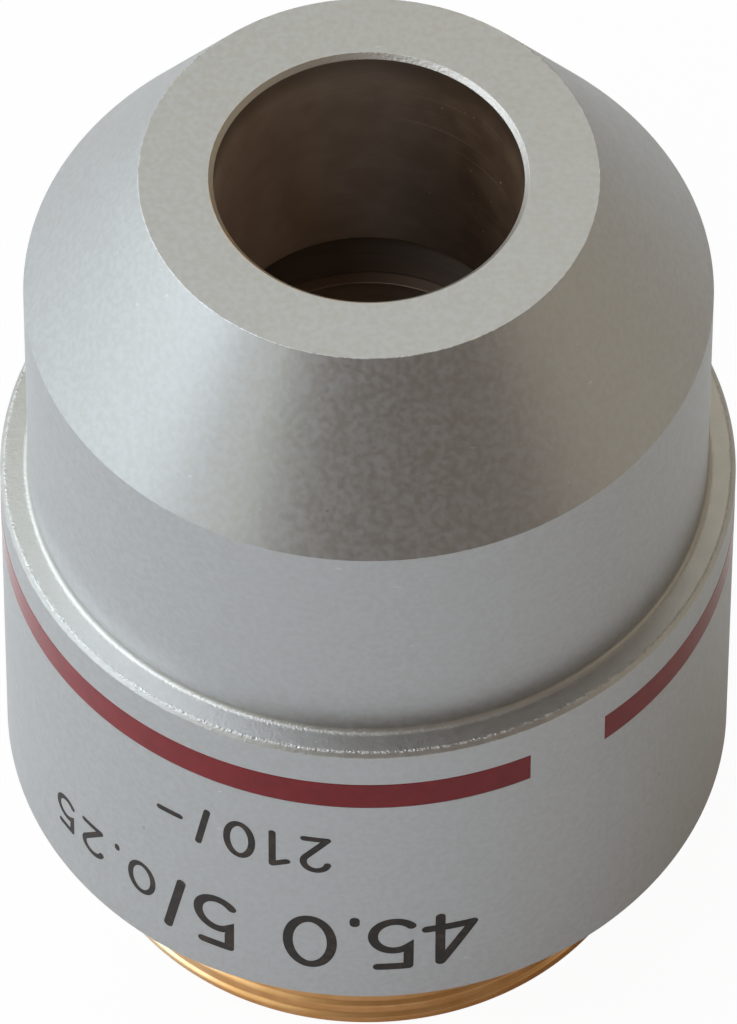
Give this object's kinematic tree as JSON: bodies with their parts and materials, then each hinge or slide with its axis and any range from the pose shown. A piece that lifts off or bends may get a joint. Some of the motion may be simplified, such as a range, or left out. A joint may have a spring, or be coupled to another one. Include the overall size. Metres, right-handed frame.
{
  "type": "microscope objective",
  "caption": "Low-power microscope objective: satin chrome hood with a conical nose, sleeve with a red colour band, glass lens train inside, and a standard brass mounting thread.",
  "frame": {"origin": "centre of the mounting shoulder, on the optical axis", "axes": "+Z along the optical axis from the mounting shoulder up to the nose, -Y towards the engraved side's middle"},
  "size_m": [0.0256, 0.0256, 0.0355],
  "materials": {
    "satin_chrome": "satin pearl-blasted chrome plate on turned brass",
    "bare_brass": "bare turned brass with a cut thread",
    "blackened_brass": "turned brass, chemically blackened, matt",
    "black_anodised": "turned aluminium, black anodised, matt",
    "red_enamel": "dark red enamel, flush in its groove, satin",
    "coated_glass": "polished optical glass with an anti-reflection coating"
  },
  "bodies": {
    "root": {"mount_body": "bare_brass", "engraved_sleeve": "satin_chrome", "colour_band": "red_enamel", "front_hood": "satin_chrome", "parfocal_shim": "bare_brass", "lens_barrel": "black_anodised", "barrel_lock_ring": "blackened_brass", "front_flint_lens": "coated_glass", "front_crown_lens": "coated_glass", "front_retaining_ring": "blackened_brass", "air_space_shim": "bare_brass", "middle_cell": "black_anodised", "middle_lens": "coated_glass", "middle_snap_ring": "blackened_brass", "aperture_stop": "blackened_brass", "rear_spacer": "black_anodised", "rear_flint_lens": "coated_glass", "rear_crown_lens": "coated_glass", "rear_retaining_ring": "blackened_brass"}
  },
  "joints": []
}
